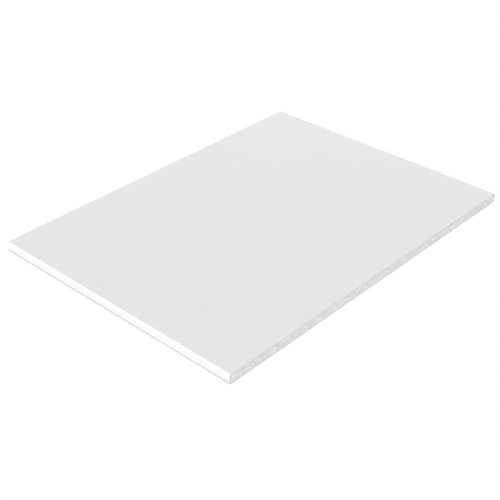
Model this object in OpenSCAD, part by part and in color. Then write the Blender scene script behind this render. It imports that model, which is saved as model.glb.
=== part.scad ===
// A flat soffit board of white cellular PVC: one extruded piece, cut square from a longer length.
// It lies on its back with its finished face up. X runs across the board's width, from one
// finished long edge to the other. Y runs along the extrusion, from one sawn end to the other.
// Z runs up from the back to the face. The origin is the centre of the back.

/* [Board] */
// Width of the board, over its two long edges
board_width = 350; // [100:1:600]
// Length of the board along the extrusion, between its two sawn ends
board_length = 258; // [50:1:5000]
// Thickness of the board, from its back to its face
board_thickness = 9; // [6:0.5:20]

/* [Arrises] */
// Radius of the long arrises on the face side
face_arris_radius = 2; // [0.5:0.1:3]
// Radius of the long arrises on the back
back_arris_radius = 2; // [0.5:0.1:2.5]

/* [Hidden] */
$fn = 96;
half_width = board_width / 2;

// What a rounded arris leaves off one square corner. The corner is at the origin.
module arris_waste(radius) {
    difference() {
        square(radius);
        translate([radius, radius]) circle(r = radius);
    }
}

// Half of the section, from the middle of the board out to a long edge, with the back on the X axis.
module half_section() {
    difference() {
        square([half_width, board_thickness]);
        translate([half_width, 0]) mirror([1, 0]) arris_waste(back_arris_radius);
        translate([half_width, board_thickness]) rotate(180) arris_waste(face_arris_radius);
    }
}

// The section across the board's width, the same both ways from its middle.
module section() {
    half_section();
    mirror([1, 0]) half_section();
}

// The board: its section, extruded along Y and cut square at both ends.
module board() {
    color("white")
        translate([0, board_length / 2, 0]) rotate([90, 0, 0])
            linear_extrude(height = board_length) section();
}

board();
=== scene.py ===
# A short piece of flat soffit board in white cellular PVC, lying on its back with its face up
import math
import random

import bpy
import numpy as np
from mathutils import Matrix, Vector, noise
from mathutils.geometry import delaunay_2d_cdt


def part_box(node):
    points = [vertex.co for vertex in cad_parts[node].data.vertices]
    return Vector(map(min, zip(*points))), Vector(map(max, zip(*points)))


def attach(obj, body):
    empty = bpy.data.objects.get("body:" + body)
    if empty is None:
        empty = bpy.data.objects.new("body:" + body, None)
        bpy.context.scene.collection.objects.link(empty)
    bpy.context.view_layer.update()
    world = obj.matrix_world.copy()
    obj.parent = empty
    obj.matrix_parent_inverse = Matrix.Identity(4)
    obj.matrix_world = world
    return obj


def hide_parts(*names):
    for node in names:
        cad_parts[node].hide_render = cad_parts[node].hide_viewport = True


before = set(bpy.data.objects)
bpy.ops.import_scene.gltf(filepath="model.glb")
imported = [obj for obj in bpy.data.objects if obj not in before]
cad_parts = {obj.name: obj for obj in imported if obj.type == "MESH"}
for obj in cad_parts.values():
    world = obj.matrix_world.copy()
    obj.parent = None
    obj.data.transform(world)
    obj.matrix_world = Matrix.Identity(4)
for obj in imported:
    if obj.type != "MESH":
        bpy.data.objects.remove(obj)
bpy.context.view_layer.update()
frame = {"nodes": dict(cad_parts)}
print("frame loaded:", ", ".join(frame["nodes"]))

# lengths are in metres throughout, unless a note says otherwise
mm = 1000          # how many go to a metre
tolerance = 1e-6   # a gap too small to matter, in metres or in mm

board = {
    "arrisFacets": 10,      # facets round each long arris
    "columnStep": 0.0035,   # how close the skin's columns stand across the width
    "edgeStep": 0.0014,     # how close they stand up each long edge
    "rowStep": 0.0100,      # how close the skin's rows stand along the length
    "holdWidth": 0.0003,    # strip beside each arris where the flat is held true
    "sharpAngle": 32,       # degrees; a steeper fold than this shades as an edge
    "sawnBreak": 0.00006,   # how far the saw takes the sharp edge off each end
    "breakVaries": 0.35,    # share by which that changes along the edge
    "seed": 21,             # for how unevenly the saw broke the edge
}

foam = {
    "skin": 0.00105,             # solid skin round the foamed core
    "skinKept": 0.6,             # share of that skin which no cell breaks into
    "smallCell": 0.00036,        # spacing of the cells just inside the skin
    "largeCell": 0.00080,        # spacing of the cells in the middle of the board
    "growsOver": 0.0022,         # depth over which they grow from small to large
    "sizeVaries": 0.30,          # share by which each cell differs from its neighbours
    "wall": 0.00007,             # wall left between two opened cells
    "fewestCorners": 4,          # a cell with fewer corners than this stays shut
    "cornersApart": 0.16,        # closest that two corners of a cell stand, as a share of its width
    "shallow": 0.04,             # depth of the shallowest opened cell, as a share of its width
    "deep": 0.15,                # and of the deepest
    "patch": 0.0026,             # size of the patches that the saw tore open or smeared shut
    "patchShift": 0.1,           # how far each seed moves the pattern of the patches
    "torn": 0.5,                 # how far open an average cell is torn, from 0 for shallow to 1 for deep
    "tornByPatch": 0.9,          # how far the patch that it lies in changes this, either way
    "tornAlone": 0.25,           # and how far it differs from its patch
    "smeared": 0.10,             # share of single cells that the saw closed over again
    "smearedDepth": 0.2,         # share of their depth left to them
    "ringFrom": 1.7,             # a cell more than this many small ones wide has a ring part way down
    "ringWidth": 0.62,           # width of that ring, as a share of the cell's
    "ringDepth": (0.74, 0.86),   # its depth, as a share of the cell's
    "ringShade": 0.8,             # and how far its painted shade goes towards the shade painted at the cell's bottom
    "ragged": 0.00003,           # how unevenly the saw left the walls
    "tries": 60000,              # darts thrown to place the cells of one end
    "seeds": (5, 8),             # near end, far end
}

flatMap = {
    "gap": 0.002,        # left between the pieces of the board laid out flat
    "endsLarger": 2.9,   # the sawn ends are drawn this much larger, to keep their cells sharp
}


def readSection():
    # the arrises end where each long edge is flat, so their radii show in the frame's own corners
    low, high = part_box("board")
    corners = np.array([v.co for v in frame["nodes"]["board"].data.vertices])
    onEdge = corners[corners[:, 0] > high.x - tolerance, 2]
    return {
        "halfWidth": (high.x - low.x) / 2,
        "thickness": high.z - low.z,
        "nearEnd": low.y,
        "farEnd": high.y,
        "backArris": float(onEdge.min()) - low.z,
        "faceArris": high.z - float(onEdge.max()),
    }


section = readSection()
print("section in mm:", {name: round(size * mm, 2) for name, size in section.items()})


def stepsAlong(length, step):
    # distances along a flat, with a narrow strip held true at each end of it
    hold = board["holdWidth"]
    count = max(1, round((length - 2 * hold) / step))
    return [hold + (length - 2 * hold) * i / count for i in range(count + 1)]


def sectionOutline():
    # points round the section with their outward normals, anticlockwise from the back's left arris
    half, thick = section["halfWidth"], section["thickness"]
    low, top = section["backArris"], section["faceArris"]
    arrises = [
        (half - low, low, low),
        (half - top, thick - top, top),
        (top - half, thick - top, top),
        (low - half, low, low),
    ]
    points, normals = [], []
    for index, (x, z, radius) in enumerate(arrises):
        lastX, lastZ, lastRadius = arrises[index - 1]
        turn = math.radians(90 * index - 90)
        out = (math.cos(turn), math.sin(turn))
        start = Vector((lastX + lastRadius * out[0], lastZ + lastRadius * out[1]))
        end = Vector((x + radius * out[0], z + radius * out[1]))
        step = board["edgeStep"] if index % 2 else board["columnStep"]
        length = (end - start).length
        for along in stepsAlong(length, step):
            points.append(start.lerp(end, along / length)[:])
            normals.append(out)
        for facet in range(board["arrisFacets"] + 1):
            angle = turn + math.radians(90) * facet / board["arrisFacets"]
            out = (math.cos(angle), math.sin(angle))
            points.append((x + radius * out[0], z + radius * out[1]))
            normals.append(out)
    return np.array(points), np.array(normals)


def depthBelowSkin(x, z):
    # how far inside the nearest outer surface a point of the section lies
    half, middle = section["halfWidth"], section["thickness"] / 2
    radius = section["faceArris"] if z > middle else section["backArris"]
    across = abs(x) - (half - radius)
    up = abs(z - middle) - (middle - radius)
    return radius - math.hypot(max(across, 0), max(up, 0)) - min(max(across, up), 0)


def scatterCells(rng):
    # throws darts at the core, and keeps each that has room for a cell of the size its depth asks for
    half, thick = section["halfWidth"], section["thickness"]
    bucket = foam["largeCell"] * (1 + foam["sizeVaries"])
    placed, buckets = [], {}
    for _ in range(foam["tries"]):
        x, z = rng.uniform(-half, half), rng.uniform(0, thick)
        depth = depthBelowSkin(x, z) - foam["skin"]
        size = rng.uniform(1 - foam["sizeVaries"], 1 + foam["sizeVaries"])
        grown = min(1, max(0, depth) / foam["growsOver"])
        size *= foam["smallCell"] + (foam["largeCell"] - foam["smallCell"]) * grown
        if depth < size / 2:
            continue
        column, row = int(x // bucket), int(z // bucket)
        near = [
            placed[i]
            for a in (column - 1, column, column + 1)
            for b in (row - 1, row, row + 1)
            for i in buckets.get((a, b), ())
        ]
        if all((x - u) ** 2 + (z - v) ** 2 > ((size + other) / 2) ** 2 for u, v, other in near):
            buckets.setdefault((column, row), []).append(len(placed))
            placed.append((x, z, size))
    return placed


def cellOutlines(placed, points, normals):
    # each cell takes the room nearer to it than to any other, or to the row of spots inside the skin
    spots = [Vector((x, z)) * mm for x, z, size in placed]
    inset = points - normals * (foam["skin"] - foam["smallCell"] / 2)
    loop = np.vstack([inset, inset[:1]])
    for (ax, az), (bx, bz) in zip(loop[:-1], loop[1:]):
        count = max(1, round(math.hypot(bx - ax, bz - az) / foam["smallCell"]))
        for i in range(count):
            spots.append(Vector((ax + (bx - ax) * i / count, az + (bz - az) * i / count)) * mm)
    whole = 0   # the output wanted: triangles over the whole spread of spots
    made, _, triangles, origins, _, _ = delaunay_2d_cdt(spots, [], [], whole, tolerance, True)
    corner = np.array([spot[:] for spot in made])[np.array(triangles)]
    # the centre of the circle through each triangle's corners is where three cells meet
    a, b, c = corner[:, 0], corner[:, 1], corner[:, 2]
    squares = [(p ** 2).sum(1) for p in (a, b, c)]
    twice = 2 * ((b - a)[:, 0] * (c - a)[:, 1] - (b - a)[:, 1] * (c - a)[:, 0])
    x = squares[0] * (b - c)[:, 1] + squares[1] * (c - a)[:, 1] + squares[2] * (a - b)[:, 1]
    z = squares[0] * (c - b)[:, 0] + squares[1] * (a - c)[:, 0] + squares[2] * (b - a)[:, 0]
    meets = np.column_stack([x / twice, z / twice]) / mm
    around = {}
    for index, triangle in enumerate(triangles):
        for spot in triangle:
            cell = origins[spot][0]
            if cell < len(placed):
                around.setdefault(cell, []).append(index)
    outlines = []
    for cell in sorted(around):
        ring = meets[around[cell]]
        centre = ring.mean(0)
        ring = ring[np.argsort(np.arctan2(ring[:, 1] - centre[1], ring[:, 0] - centre[0]))]
        outlines.append(ring)
    return outlines


def cellRim(ring, centre, width):
    # the cell's outline, drawn in by the wall and without the corners that crowd each other
    apart = width * foam["cornersApart"]
    rim = []
    for x, z in centre + (ring - centre) * (1 - foam["wall"] / width):
        if not rim or math.hypot(x - rim[-1][0], z - rim[-1][1]) > apart:
            rim.append((x, z))
    if math.hypot(rim[0][0] - rim[-1][0], rim[0][1] - rim[-1][1]) < apart:
        rim.pop()
    return rim


def openCells(rng, seed, outlines):
    # points, rims and depths of the hollows that the saw left, and the shade painted at each point, more
    # the deeper it lies; a wide cell has a ring part way down
    places, depths, shadeShares, rims = [], [], [], []
    for ring in outlines:
        centre = ring.mean(0)
        width = 2 * float(np.hypot(*(ring - centre).T).mean())
        rim = cellRim(ring, centre, width)
        if len(rim) < foam["fewestCorners"]:
            continue
        if min(depthBelowSkin(x, z) for x, z in rim) < foam["skin"] * foam["skinKept"]:
            continue
        patch = noise.noise(Vector((centre[0], seed * foam["patchShift"], centre[1])) / foam["patch"])
        torn = foam["torn"] + foam["tornByPatch"] * patch
        torn = min(1, max(0, torn + rng.uniform(-foam["tornAlone"], foam["tornAlone"])))
        deepest = width * foam["deep"]
        depth = width * (foam["shallow"] + (foam["deep"] - foam["shallow"]) * torn)
        if rng.random() < foam["smeared"]:
            depth *= foam["smearedDepth"]
        first = len(places)
        rims.append(list(range(first, first + len(rim))))
        places += rim
        depths += [rng.uniform(0, foam["ragged"]) for _ in rim]
        shadeShares += [0.0] * len(rim)
        if width > foam["smallCell"] * foam["ringFrom"]:
            u, v = centre
            narrower = foam["ringWidth"]
            places += [(u + (x - u) * narrower, v + (z - v) * narrower) for x, z in rim]
            depths += [depth * rng.uniform(*foam["ringDepth"]) for _ in rim]
            # painted shade on the ring, less than at the cell's bottom
            shadeShares += [foam["ringShade"] * depth / deepest] * len(rim)
        places.append(tuple(centre))
        depths.append(depth)
        shadeShares.append(depth / deepest)
    return places, depths, shadeShares, rims


def sawnEnd(seed, points, normals, breaks):
    # one sawn end, laid in the section's plane: its points, how deep each lies, that depth as a share
    # of the deepest that its cell could be, which sets how much shade is painted there, and the triangles
    # between them
    rng = random.Random(seed)
    placed = scatterCells(rng)
    outlines = cellOutlines(placed, points, normals)
    places, depths, shadeShares, rims = openCells(rng, seed, outlines)
    rimOfEnd = points - normals * breaks[:, None]
    count = len(rimOfEnd)
    flat = [Vector(p) * mm for p in rimOfEnd] + [Vector(p) * mm for p in places]
    edges = [(i, (i + 1) % count) for i in range(count)]
    for rim in rims:
        edges += [(count + a, count + b) for a, b in zip(rim, rim[1:] + rim[:1])]
    within = 1   # the output wanted: only triangles inside the edges given
    _, _, triangles, origins, _, _ = delaunay_2d_cdt(flat, edges, [], within, tolerance, True)
    inside = []
    for triangle in triangles:
        triangle = [origins[corner][0] for corner in triangle]
        a, b, c = sorted(triangle)
        if c < count:
            # a sliver outside the rim, in one of its shallow dips, runs round the other way
            ahead, beyond = rimOfEnd[b] - rimOfEnd[a], rimOfEnd[c] - rimOfEnd[a]
            if ahead[0] * beyond[1] < ahead[1] * beyond[0]:
                continue
        inside.append(triangle)
    everyPlace = np.vstack([rimOfEnd, places])
    everyDepth = np.concatenate([np.zeros(count), depths])
    everyShadeShare = np.concatenate([np.zeros(count), shadeShares])
    print(f"sawn end: {len(rims)} open cells, {len(inside)} triangles")
    return everyPlace, everyDepth, everyShadeShare, inside


def skinSpots(points, down, rows):
    # the skin laid out flat: face and long edges unrolled, and the back above them
    gap, length = flatMap["gap"], section["farEnd"] - section["nearEnd"]
    steps = np.linalg.norm(np.roll(points, -1, axis=0) - points, axis=1)
    around = np.cumsum(steps) - steps
    around -= around[np.argmin(down)]
    across = points[:, 0] + section["halfWidth"]
    left = gap + np.where(down, across, around)
    right = gap + np.where(down, np.roll(across, -1), around + steps)
    base = np.where(down, 2 * (gap + length), gap + length)
    spots = []
    for row in range(rows):
        here, there = base - length * row / rows, base - length * (row + 1) / rows
        spots.append(np.stack([left, here, left, there, right, there, right, here], 1))
    return np.concatenate(spots).reshape(-1, 2), right[~down].max()


def endSpots(end, side, places, beside):
    # one half of a sawn end laid on its side, beside the skin, and turned so that it isn't mirrored
    larger, gap = flatMap["endsLarger"], flatMap["gap"]
    x, z = places[:, 0], places[:, 1]
    across = z if side == end else section["thickness"] - z
    strip = 2 * end + side
    left = beside + gap + strip * (section["thickness"] * larger + gap)
    return np.column_stack([left + across * larger, 3 * gap + (x if side else -x) * larger])


skinSlot, backSlot, sawnSlot = 0, 1, 2   # the order in which the board is given its materials
straightDown = -0.999                    # a normal that points lower than this is the back's


def layRows(points, breaks, rows):
    # the skin's corners, row by row from the near end to the far end
    length = section["farEnd"] - section["nearEnd"]
    corners = []
    for row in range(rows + 1):
        along = np.full(len(points), section["nearEnd"] + length * row / rows)
        if row == 0:
            along += breaks[0]
        if row == rows:
            along -= breaks[1]
        corners += list(zip(points[:, 0], along, points[:, 1]))
    return corners


def skinPatches(rows, columns):
    patches = []
    for row in range(rows):
        here, there = row * columns, (row + 1) * columns
        for column in range(columns):
            after = (column + 1) % columns
            patches.append((here + column, there + column, there + after, here + after))
    return patches


def sawnPatches(end, edge, first, columns, triangles):
    # the strip that joins a sawn end to the skin, and the end's own triangles
    patches = []
    for column in range(columns):
        after = (column + 1) % columns
        patches.append((edge + column, edge + after, first + after, first + column))
    patches += [tuple(first + corner for corner in triangle) for triangle in triangles]
    # the far end faces the other way, so its patches run round the other way
    return [patch[::-1] for patch in patches] if end else patches


def makePiece(corners, faces, finish, cellShadeShares, spots):
    mesh = bpy.data.meshes.new("soffit_board")
    mesh.from_pydata(corners, [], faces)
    mesh.polygons.foreach_set("material_index", finish)
    mesh.polygons.foreach_set("use_smooth", [True] * len(faces))
    mesh.set_sharp_from_angle(angle=math.radians(board["sharpAngle"]))
    below = [depthBelowSkin(x, z) * mm for x, y, z in corners]
    mesh.attributes.new("mmBelowSkin", "FLOAT", "POINT").data.foreach_set("value", below)
    # painted shade: how far each point of a cell is painted towards the shaded colour of a cell's bottom
    mesh.attributes.new("cellShade", "FLOAT", "POINT").data.foreach_set("value", cellShadeShares)
    mesh.uv_layers.new(name="OFBake").uv.foreach_set("vector", spots.astype(np.float32).ravel())
    mesh.validate()
    piece = bpy.data.objects.new("soffit_board", mesh)
    bpy.context.scene.collection.objects.link(piece)
    return piece


def buildBoard():
    rng = np.random.default_rng(board["seed"])
    points, normals = sectionOutline()
    columns = len(points)
    breaks = board["sawnBreak"] * (1 + board["breakVaries"] * rng.uniform(-1, 1, (2, columns)))
    rows = round((section["farEnd"] - section["nearEnd"]) / board["rowStep"])
    down = normals[:, 1] < straightDown
    down &= np.roll(down, -1)
    corners = layRows(points, breaks, rows)
    faces = skinPatches(rows, columns)
    finish = [backSlot if below else skinSlot for below in down] * rows
    # how much shade is painted at each point; none on the skin
    cellShadeShares = [0.0] * len(corners)
    skinMap, beside = skinSpots(points, down, rows)
    spots = [skinMap]

    for end, seed in enumerate(foam["seeds"]):
        plane = section["farEnd"] if end else section["nearEnd"]
        inward = -1 if end else 1
        places, depths, shadeShares, triangles = sawnEnd(seed, points, normals, breaks[end])
        first = len(corners)
        corners += list(zip(places[:, 0], plane + inward * depths, places[:, 1]))
        cellShadeShares += list(shadeShares)
        patches = sawnPatches(end, rows * columns * end, first, columns, triangles)
        faces += patches
        finish += [sawnSlot] * len(patches)
        for patch in patches:
            flat = np.array([corners[corner] for corner in patch])[:, ::2]
            side = int(flat[:, 0].mean() > 0)
            spots.append(endSpots(end, side, flat, beside))

    # the map has to fit a square with sides of 1
    spots = np.concatenate(spots)
    spots /= spots.max() + flatMap["gap"]
    return makePiece(corners, faces, finish, cellShadeShares, spots)


def addNode(tree, kind, sockets, **settings):
    # a shader node; a socket given another node's output is linked to it, and any other value is set
    node = tree.nodes.new("ShaderNode" + kind)
    for name, value in settings.items():
        setattr(node, name, value)
    for name, value in sockets.items():
        if isinstance(value, bpy.types.NodeSocket):
            tree.links.new(value, node.inputs[name])
        else:
            node.inputs[name].default_value = value
    return node


def newMaterial(name, colour):
    material = bpy.data.materials.new(name)
    material.use_nodes = True
    material.diffuse_color = (*colour, 1)
    material.node_tree.nodes.clear()
    return material, material.node_tree


def mixColours(tree, factor, first, second):
    # a mix node takes its two colours at sockets 6 and 7, and gives the mixed one at 2
    mix = addNode(tree, "Mix", {0: factor, 6: first, 7: second}, data_type="RGBA")
    return mix.outputs[2]


def rescale(tree, value, fromLow, fromHigh, toLow, toHigh):
    # a value held between two limits, and stretched to lie between two others
    sockets = {"Value": value, 1: fromLow, 2: fromHigh, 3: toLow, 4: toHigh}
    return addNode(tree, "MapRange", sockets).outputs["Result"]


skinFinish = {
    "colour": (0.806, 0.81, 0.817),
    "greyer": (0.791, 0.796, 0.803),   # the faint streaks that the die leaves
    "roughness": (0.30, 0.40),         # where it is smoothest, and in its dullest streaks
    "dieLine": 0.0009,                 # spacing of the die lines
    "dieDepth": 0.000004,              # and how deep they are
    "peel": 0.0022,                    # grain of the faint orange peel
    "peelDepth": 0.000003,             # and how deep that is
    "shadeReach": 0.0026,              # how near the skin must be to something to lie in its shade
    "shadeDepth": 0.86,                # share of the colour lost in the crack where they meet
    "shadeFrom": 0.62,                 # how open the crack is where the shade is deepest
}

# the back has the same skin, greyer, duller and more deeply marked
backFinish = {
    "colour": (0.77, 0.78, 0.79),
    "greyer": (0.745, 0.755, 0.765),
    "roughness": (0.48, 0.60),
    "dieLine": 0.0016,
    "dieDepth": 0.000012,
    "peel": 0.0030,
    "peelDepth": 0.000006,
    "shadeReach": 0.0026,
    "shadeDepth": 0.86,
    "shadeFrom": 0.62,
}

# what both skins share; the noises run from 0 to 1, and mostly stay near a half
skinPattern = {
    "drawnOut": 0.006,    # how fast lines and streaks change along the board, as a share of across it
    "streaks": 45.0,      # about how many to a metre
    "patches": 14.0,      # the same; the streaks come and go with these broad patches
    "greyerFrom": 0.12,   # streak times patch, where the skin starts to turn greyer
    "greyest": 0.40,      # and where it is as grey as it gets
    "dullerFrom": 0.3,    # streak alone, where the skin starts to turn duller
    "dullest": 0.7,       # and where it is as dull as it gets
    "indexOfRefraction": 1.5,
}


def shadeCracks(tree, colour, finish):
    # darkens a colour down in the crack under the rounded arris, or wherever the board meets something
    near = addNode(tree, "AmbientOcclusion", {"Distance": finish["shadeReach"]}, samples=16)
    light = rescale(tree, near.outputs["AO"], finish["shadeFrom"], 1.0, 1 - finish["shadeDepth"], 1.0)
    return mixColours(tree, light, (0, 0, 0, 1), colour)


def skinMaterial(name, finish):
    # smooth extruded skin: die lines run along the board, over a faint orange peel
    material, tree = newMaterial(name, finish["colour"])
    where = addNode(tree, "TexCoord", {}).outputs["Object"]
    slower = (1, skinPattern["drawnOut"], 1)
    drawnOut = addNode(tree, "Mapping", {"Vector": where, "Scale": slower}).outputs[0]
    lines = addNode(tree, "TexNoise", {"Vector": drawnOut, "Scale": 1 / finish["dieLine"], "Detail": 3.0})
    streaks = addNode(tree, "TexNoise", {
        "Vector": drawnOut,
        "Scale": skinPattern["streaks"],
        "Detail": 4.0,
    })
    patches = addNode(tree, "TexNoise", {
        "Vector": where,
        "Scale": skinPattern["patches"],
        "Detail": 2.0,
    })
    peel = addNode(tree, "TexNoise", {"Vector": where, "Scale": 1 / finish["peel"], "Detail": 1.0})
    both = addNode(tree, "Math", {0: streaks.outputs[0], 1: patches.outputs[0]}, operation="MULTIPLY")
    tone = rescale(tree, both.outputs[0], skinPattern["greyerFrom"], skinPattern["greyest"], 0.0, 1.0)
    colour = mixColours(tree, tone, (*finish["colour"], 1), (*finish["greyer"], 1))
    colour = shadeCracks(tree, colour, finish)
    duller = (skinPattern["dullerFrom"], skinPattern["dullest"])
    rough = rescale(tree, streaks.outputs[0], *duller, *finish["roughness"])
    peelBump = addNode(tree, "Bump", {"Height": peel.outputs[0], "Distance": finish["peelDepth"]})
    lineBump = addNode(tree, "Bump", {
        "Height": lines.outputs[0],
        "Distance": finish["dieDepth"],
        "Normal": peelBump.outputs[0],
    })
    shader = addNode(tree, "BsdfPrincipled", {
        "Base Color": colour,
        "Roughness": rough,
        "IOR": skinPattern["indexOfRefraction"],
        "Normal": lineBump.outputs[0],
    })
    addNode(tree, "OutputMaterial", {"Surface": shader.outputs[0]})
    return material


sawnFinish = {
    "core": (0.892, 0.891, 0.890),         # the walls between the cells
    "coreGreyer": (0.766, 0.766, 0.765),   # and how grey they are in the denser patches
    "cutSkin": (0.802, 0.803, 0.803),
    "shadeInCells": (0.818, 0.818, 0.817),      # painted shade: the colour that the bottom of the deepest cells is painted
    "skinEnds": (1.00, 1.70),              # mm below the surface over which cut skin turns to foam
    "mottle": 0.0044,                      # size of those patches
    "mottleFrom": 0.35,                    # the noise that makes them, where they start to turn grey
    "mottleTo": 0.65,                      # and where they are as grey as they get
    "fineCells": 0.00022,                  # the finest cells, too small to model
    "fineDepth": 0.00003,                  # and how deep they are
    "sawLine": 0.0006,                     # spacing of the upright marks of the saw
    "sawDrawnOut": 0.05,                   # how fast they change up the end, as a share of across it
    "sawDepth": 0.000015,                  # and how deep they are
    "roughness": (0.62, 0.85),             # of the cut skin, and of the foam
    "indexOfRefraction": 1.45,
    "specular": 0.3,                       # foam shines less than the skin does; 0.5 is usual
    "shadeReach": 0.0018,
    "shadeDepth": 0.22,
    "shadeFrom": 0.50,
}


def sawnMaterial(name, finish):
    # sawn foam: a dense band of cut skin all round, and a mottled core with finer cells in every wall,
    # with shade painted into the deeper cells
    material, tree = newMaterial(name, finish["core"])
    where = addNode(tree, "TexCoord", {}).outputs["Object"]
    below = addNode(tree, "Attribute", {}, attribute_name="mmBelowSkin").outputs["Fac"]
    cellShadeFactor = addNode(tree, "Attribute", {}, attribute_name="cellShade").outputs["Fac"]
    mottle = addNode(tree, "TexNoise", {"Vector": where, "Scale": 1 / finish["mottle"], "Detail": 2.0})
    cells = addNode(tree, "TexVoronoi", {"Vector": where, "Scale": 1 / finish["fineCells"]})
    slower = (1, 1, finish["sawDrawnOut"])
    upright = addNode(tree, "Mapping", {"Vector": where, "Scale": slower}).outputs[0]
    sawLines = addNode(tree, "TexNoise", {
        "Vector": upright,
        "Scale": 1 / finish["sawLine"],
        "Detail": 2.0,
    })
    patchy = rescale(tree, mottle.outputs[0], finish["mottleFrom"], finish["mottleTo"], 0.0, 1.0)
    core = mixColours(tree, patchy, (*finish["core"], 1), (*finish["coreGreyer"], 1))
    # painted shade: the deeper a cell, the darker its bottom is painted
    core = mixColours(tree, cellShadeFactor, core, (*finish["shadeInCells"], 1))
    foamed = rescale(tree, below, *finish["skinEnds"], 0.0, 1.0)
    colour = mixColours(tree, foamed, (*finish["cutSkin"], 1), core)
    colour = shadeCracks(tree, colour, finish)
    rough = rescale(tree, foamed, 0.0, 1.0, *finish["roughness"])
    fine = addNode(tree, "Math", {0: cells.outputs["Distance"], 1: foamed}, operation="MULTIPLY")
    fineBump = addNode(tree, "Bump", {
        "Height": fine.outputs[0],
        "Distance": finish["fineDepth"],
    }, invert=True)
    sawBump = addNode(tree, "Bump", {
        "Height": sawLines.outputs[0],
        "Distance": finish["sawDepth"],
        "Normal": fineBump.outputs[0],
    })
    shader = addNode(tree, "BsdfPrincipled", {
        "Base Color": colour,
        "Roughness": rough,
        "IOR": finish["indexOfRefraction"],
        "Specular IOR Level": finish["specular"],
        "Normal": sawBump.outputs[0],
    })
    addNode(tree, "OutputMaterial", {"Surface": shader.outputs[0]})
    return material


soffitBoard = buildBoard()
finishes = {
    skinSlot: skinMaterial("white satin skin", skinFinish),
    backSlot: skinMaterial("duller back", backFinish),
    sawnSlot: sawnMaterial("sawn foam", sawnFinish),
}
for slot in sorted(finishes):
    soffitBoard.data.materials.append(finishes[slot])
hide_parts("board")
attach(soffitBoard, "root")
print("board:", len(soffitBoard.data.polygons), "faces")


studio = {
    "overhead": 0.45,                       # light from straight above
    "horizon": 1.36,                        # light from low down, all round; full light is 1
    "skyColour": (0.992, 1.0, 1.018, 1),    # slightly cool, where the key is slightly warm
    "floorSize": 12.0,
    "floorDrop": 0.00002,                   # how far the floor lies below the back
    "floorColour": (0.20, 0.20, 0.20, 1),   # dark, so that it throws little light up at the board
    "floorLift": 0.84,                      # glow that brings what is seen of the floor up to white
    "lampsApart": 0.1,                      # how far behind a lamp the rest of its light hangs
}

lamps = {
    "soft key": {            # stands far off the near long edge
        "share": 0.722,      # of full light, measured square to the lamp at the board
        "inGloss": 0.04,     # how much of that gloss may catch; more would glare in a low view
        "colour": (1.0, 0.985, 0.957),
        "azimuth": -64.5,
        "elevation": 15.4,   # low, so that it lights the long edge more than the face
        "distance": 14.0,
        "size": (5.6, 5.6),
    },
    "back light": {          # faint, low and near, beyond the far corner
        "share": 0.05,
        "inGloss": 1.0,
        "colour": (0.97, 0.985, 1.0),
        "azimuth": 132.6,
        "elevation": 16.0,
        "distance": 3.0,
        "size": (3.0, 0.5),
    },
}


def direction(azimuth, elevation):
    # from the board towards something that stands at that bearing; 0 is off the near end
    a, e = math.radians(azimuth), math.radians(elevation)
    return Vector((math.sin(a) * math.cos(e), -math.cos(a) * math.cos(e), math.sin(e)))


def seenDirectly(tree):
    # 1 for what the camera sees, straight or by way of gloss or glass, and 0 for light on the object
    path = addNode(tree, "LightPath", {})
    seen = addNode(tree, "Math", {
        0: path.outputs["Is Camera Ray"],
        1: path.outputs["Is Glossy Ray"],
    }, operation="MAXIMUM")
    return addNode(tree, "Math", {
        0: seen.outputs[0],
        1: path.outputs["Is Transmission Ray"],
    }, operation="MAXIMUM").outputs[0]


def buildFloor():
    half, low = studio["floorSize"] / 2, -studio["floorDrop"]
    corners = [(-half, -half, low), (half, -half, low), (half, half, low), (-half, half, low)]
    mesh = bpy.data.meshes.new("studio_floor")
    mesh.from_pydata(corners, [], [(0, 1, 2, 3)])
    floor = bpy.data.objects.new("studio_floor", mesh)
    bpy.context.scene.collection.objects.link(floor)
    material, tree = newMaterial("pale floor", studio["floorColour"][:3])
    paint = addNode(tree, "BsdfDiffuse", {"Color": studio["floorColour"]})
    lift = addNode(tree, "Math", {0: seenDirectly(tree), 1: studio["floorLift"]}, operation="MULTIPLY")
    glow = addNode(tree, "Emission", {"Strength": lift.outputs[0]})
    both = addNode(tree, "AddShader", {0: paint.outputs[0], 1: glow.outputs[0]})
    addNode(tree, "OutputMaterial", {"Surface": both.outputs[0]})
    mesh.materials.append(material)


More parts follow.
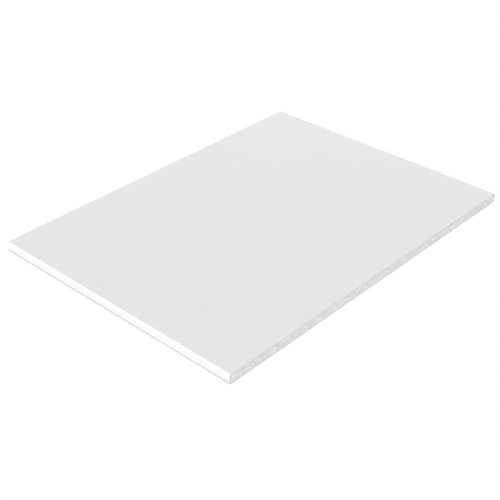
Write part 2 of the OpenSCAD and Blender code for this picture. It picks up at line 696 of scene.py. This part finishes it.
def hangLamp(name, lamp, share, distance, showsInGloss):
    # a lamp of this power gives the board that share of full light, square to the lamp
    light = bpy.data.lights.new(name, "AREA")
    light.shape = "RECTANGLE"
    light.size, light.size_y = lamp["size"]
    light.color = lamp["colour"]
    light.energy = share * math.pi ** 2 * distance ** 2
    stand = bpy.data.objects.new(name, light)
    towards = direction(lamp["azimuth"], lamp["elevation"])
    stand.location = towards * distance
    stand.rotation_euler = towards.to_track_quat("Z", "Y").to_euler()
    stand.visible_glossy = showsInGloss
    bpy.context.scene.collection.objects.link(stand)


def hangLamps():
    # a lamp is two where gloss may catch only some of its light; in one place, one would hide the other
    for name, lamp in lamps.items():
        share, distance = lamp["share"], lamp["distance"]
        hangLamp(name, lamp, share * lamp["inGloss"], distance, True)
        if lamp["inGloss"] < 1:
            rest = share * (1 - lamp["inGloss"])
            hangLamp(name + ", the rest", lamp, rest, distance + studio["lampsApart"], False)


def buildSky():
    # the light fades evenly from the horizon up; what is seen of the sky is plain white instead
    world = bpy.data.worlds.new("studio")
    world.use_nodes = True
    tree = world.node_tree
    tree.nodes.clear()
    bearing = addNode(tree, "TexCoord", {}).outputs["Generated"]
    height = addNode(tree, "SeparateXYZ", {0: bearing}).outputs[2]
    sky = rescale(tree, height, 0.0, 1.0, studio["horizon"], studio["overhead"])
    lit = addNode(tree, "Background", {"Color": studio["skyColour"], "Strength": sky})
    shown = addNode(tree, "Background", {"Color": (1, 1, 1, 1), "Strength": 1.0})
    both = addNode(tree, "MixShader", {0: seenDirectly(tree), 1: lit.outputs[0], 2: shown.outputs[0]})
    addNode(tree, "OutputWorld", {"Surface": both.outputs[0]})
    bpy.context.scene.world = world


viewpoint = {                  # over the corner between the near end and the near long edge
    "lens": 75.0,         # mm, as is the film's width
    "filmWidth": 36.0,
    "azimuth": -47.4,
    "elevation": 32.7,
    "distance": 0.8737,   # from the point aimed at
    "aim": (-0.0407, -0.0250, 0.0045),
}


def buildCamera():
    data = bpy.data.cameras.new("camera")
    data.lens = viewpoint["lens"]
    data.sensor_width = viewpoint["filmWidth"]
    camera = bpy.data.objects.new("camera", data)
    towards = direction(viewpoint["azimuth"], viewpoint["elevation"])
    camera.location = Vector(viewpoint["aim"]) + towards * viewpoint["distance"]
    camera.rotation_euler = towards.to_track_quat("Z", "Y").to_euler()
    bpy.context.scene.collection.objects.link(camera)
    bpy.context.scene.camera = camera


buildFloor()
buildSky()
hangLamps()
buildCamera()
bpy.context.scene.view_settings.view_transform = "Standard"
print("studio ready")
